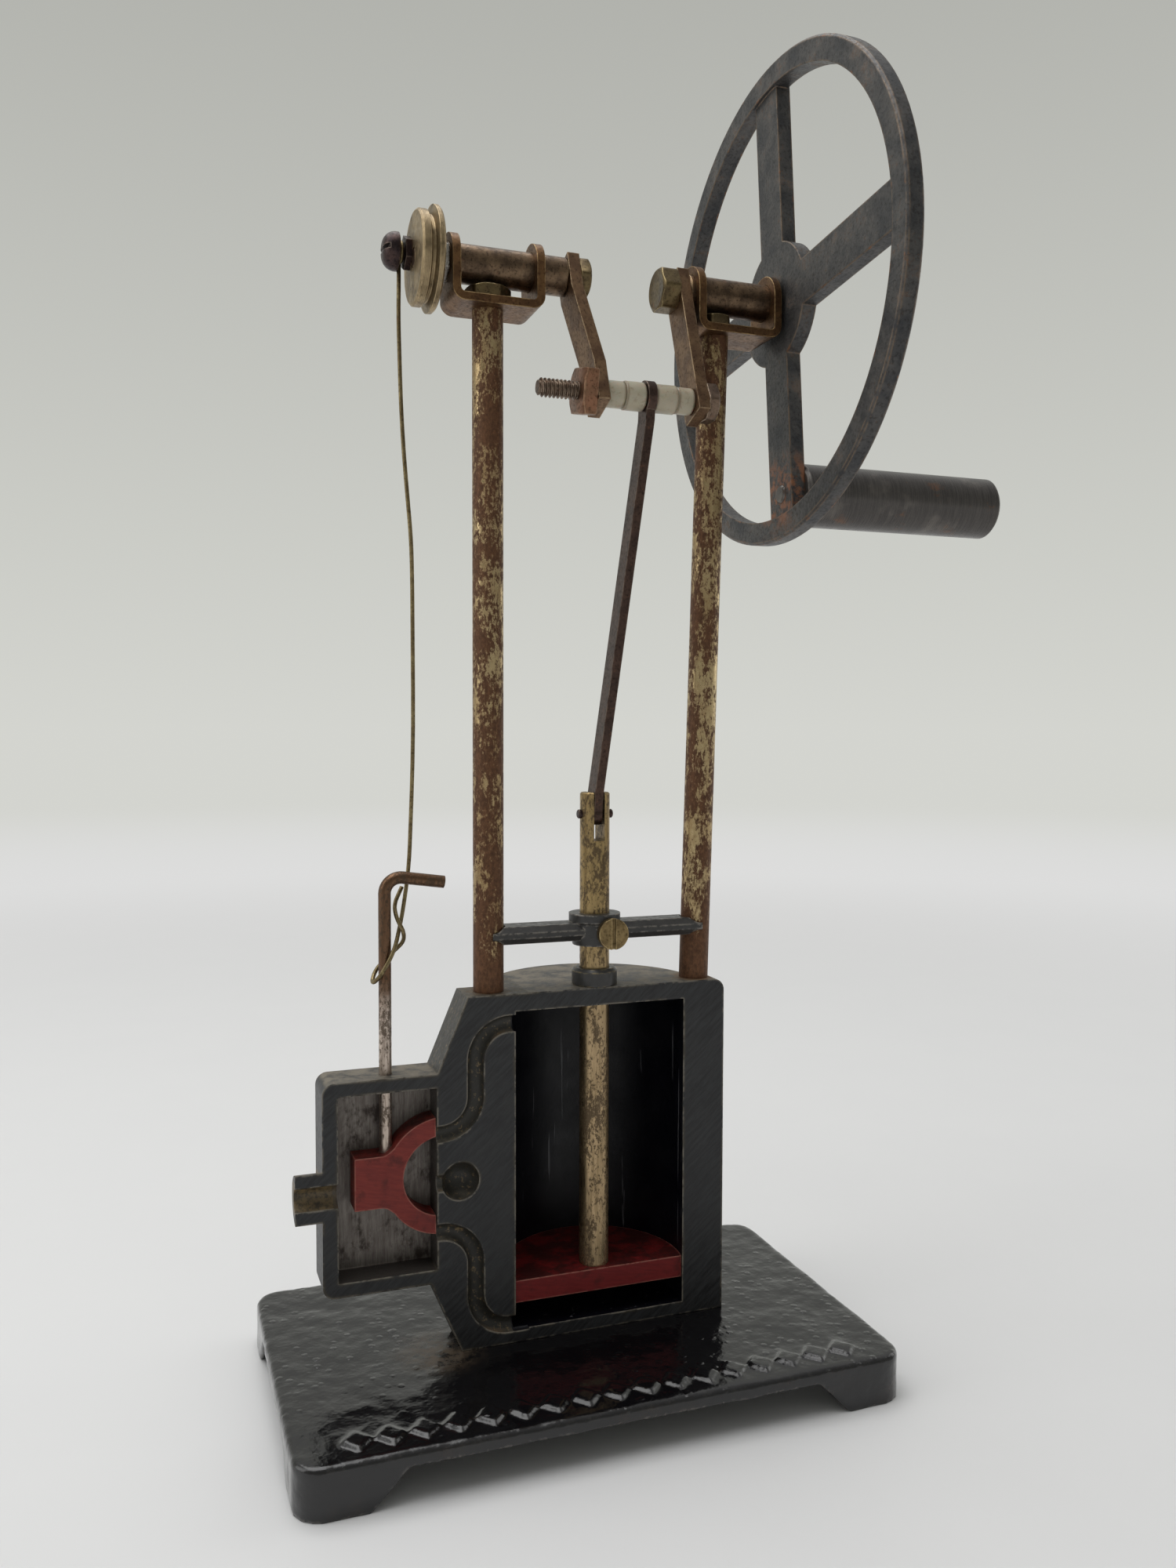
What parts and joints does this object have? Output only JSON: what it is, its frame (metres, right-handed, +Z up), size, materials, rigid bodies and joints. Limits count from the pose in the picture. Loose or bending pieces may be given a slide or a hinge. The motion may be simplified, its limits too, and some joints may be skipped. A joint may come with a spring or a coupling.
{
  "type": "sectional steam engine model",
  "caption": "Hand-cranked cut-away teaching model of a vertical steam engine: open half cylinder, piston, slide valve, crankshaft on round posts, and a spoked flywheel.",
  "frame": {"origin": "middle of the base's footprint, on the surface it stands on", "axes": "+Z up, along the cylinder; +X along the crankshaft towards the flywheel and its handle; -Y towards the sectioned side that the viewer looks at"},
  "size_m": [0.2042, 0.1306, 0.3543],
  "materials": {
    "black_japan": "gloss black stove enamel, worn brown at the corners",
    "black_paint": "brushed-on satin black paint over cast iron",
    "black_paint_chipped": "chipped black paint",
    "red_paint": "satin dark red paint",
    "aged_nickel": "worn nickel plate with rust spots",
    "pale_rod": "bright drawn rod, lightly spotted",
    "patinated_strip": "brown patina with brassy edges",
    "plain_steel": "dull steel",
    "blackened_steel": "turned and blackened",
    "dark_iron": "dark grey iron with light rust",
    "pale_brass": "dull machined brass",
    "dull_wire": "tarnished brass wire",
    "dull_wire_rod": "brown tarnished rod",
    "ivory_plastic": "translucent ivory tube"
  },
  "bodies": {
    "stand": {"base_plate": "black_japan", "block_fixing_screws": "plain_steel", "cylinder_block": "black_paint", "piston_rod_gland": "black_paint_chipped", "left_post": "aged_nickel", "right_post": "aged_nickel", "left_bearing_bracket": "patinated_strip", "right_bearing_bracket": "patinated_strip", "left_post_cap_screw": "patinated_strip", "right_post_cap_screw": "patinated_strip"},
    "crankshaft": {"left_half_shaft": "patinated_strip", "right_half_shaft": "aged_nickel", "left_crank_arm": "patinated_strip", "right_crank_arm": "patinated_strip", "left_arm_bolt": "patinated_strip", "right_arm_bolt": "patinated_strip", "crankpin_bolt": "plain_steel", "crankpin_nut": "plain_steel", "crankpin_spacer_left": "ivory_plastic", "crankpin_bush_left": "ivory_plastic", "crankpin_bush_right": "ivory_plastic", "crankpin_spacer_right": "ivory_plastic", "valve_crank_disc": "pale_brass", "disc_lock_nut": "plain_steel", "valve_pin_screw": "blackened_steel", "valve_pin_nut": "blackened_steel", "flywheel": "dark_iron", "flywheel_nut": "plain_steel", "flywheel_handle": "blackened_steel"},
    "connecting_rod": {"connecting_rod": "patinated_strip"},
    "piston": {"piston": "red_paint", "piston_rod": "pale_rod", "wrist_pin": "plain_steel", "crosshead": "black_paint_chipped", "crosshead_clamp_screw": "pale_brass"},
    "valve_wire": {"valve_wire": "dull_wire"},
    "slide_valve": {"slide_valve": "red_paint", "valve_rod": "dull_wire_rod"}
  },
  "joints": [
    {"name": "crank_turn", "type": "hinge", "parent": "stand", "child": "crankshaft", "pos_m": [0, -0.0007, 0.289], "axis": [-1, 0, 0], "range_deg": [0, 160], "deforming": ["valve_wire"]},
    {"name": "conrod_swing", "type": "hinge", "parent": "crankshaft", "child": "connecting_rod", "pos_m": [0.0178, -0.01233, 0.25705], "axis": [-1, 0, 0], "range_deg": [-153.84, 0]},
    {"name": "piston_slide", "type": "slide", "parent": "stand", "child": "piston", "axis": [0, 0, 1], "range_m": [0, 0.06532]},
    {"name": "wire_swing", "type": "hinge", "parent": "crankshaft", "child": "valve_wire", "pos_m": [-0.0405, 0.00363, 0.2915], "axis": [-1, 0, 0], "range_deg": [-162.39, 0]},
    {"name": "valve_slide", "type": "slide", "parent": "stand", "child": "slide_valve", "axis": [0, 0, 1], "range_m": [-0.00633, 0]}
  ],
  "couplings": [
    {"joint": "conrod_swing", "follows": "crank_turn", "ratio": -0.96144},
    {"joint": "piston_slide", "follows": "crank_turn", "m_per_rad": 0.023392},
    {"joint": "wire_swing", "follows": "crank_turn", "ratio": -1.0149},
    {"joint": "valve_slide", "follows": "crank_turn", "m_per_rad": -0.0022668}
  ]
}
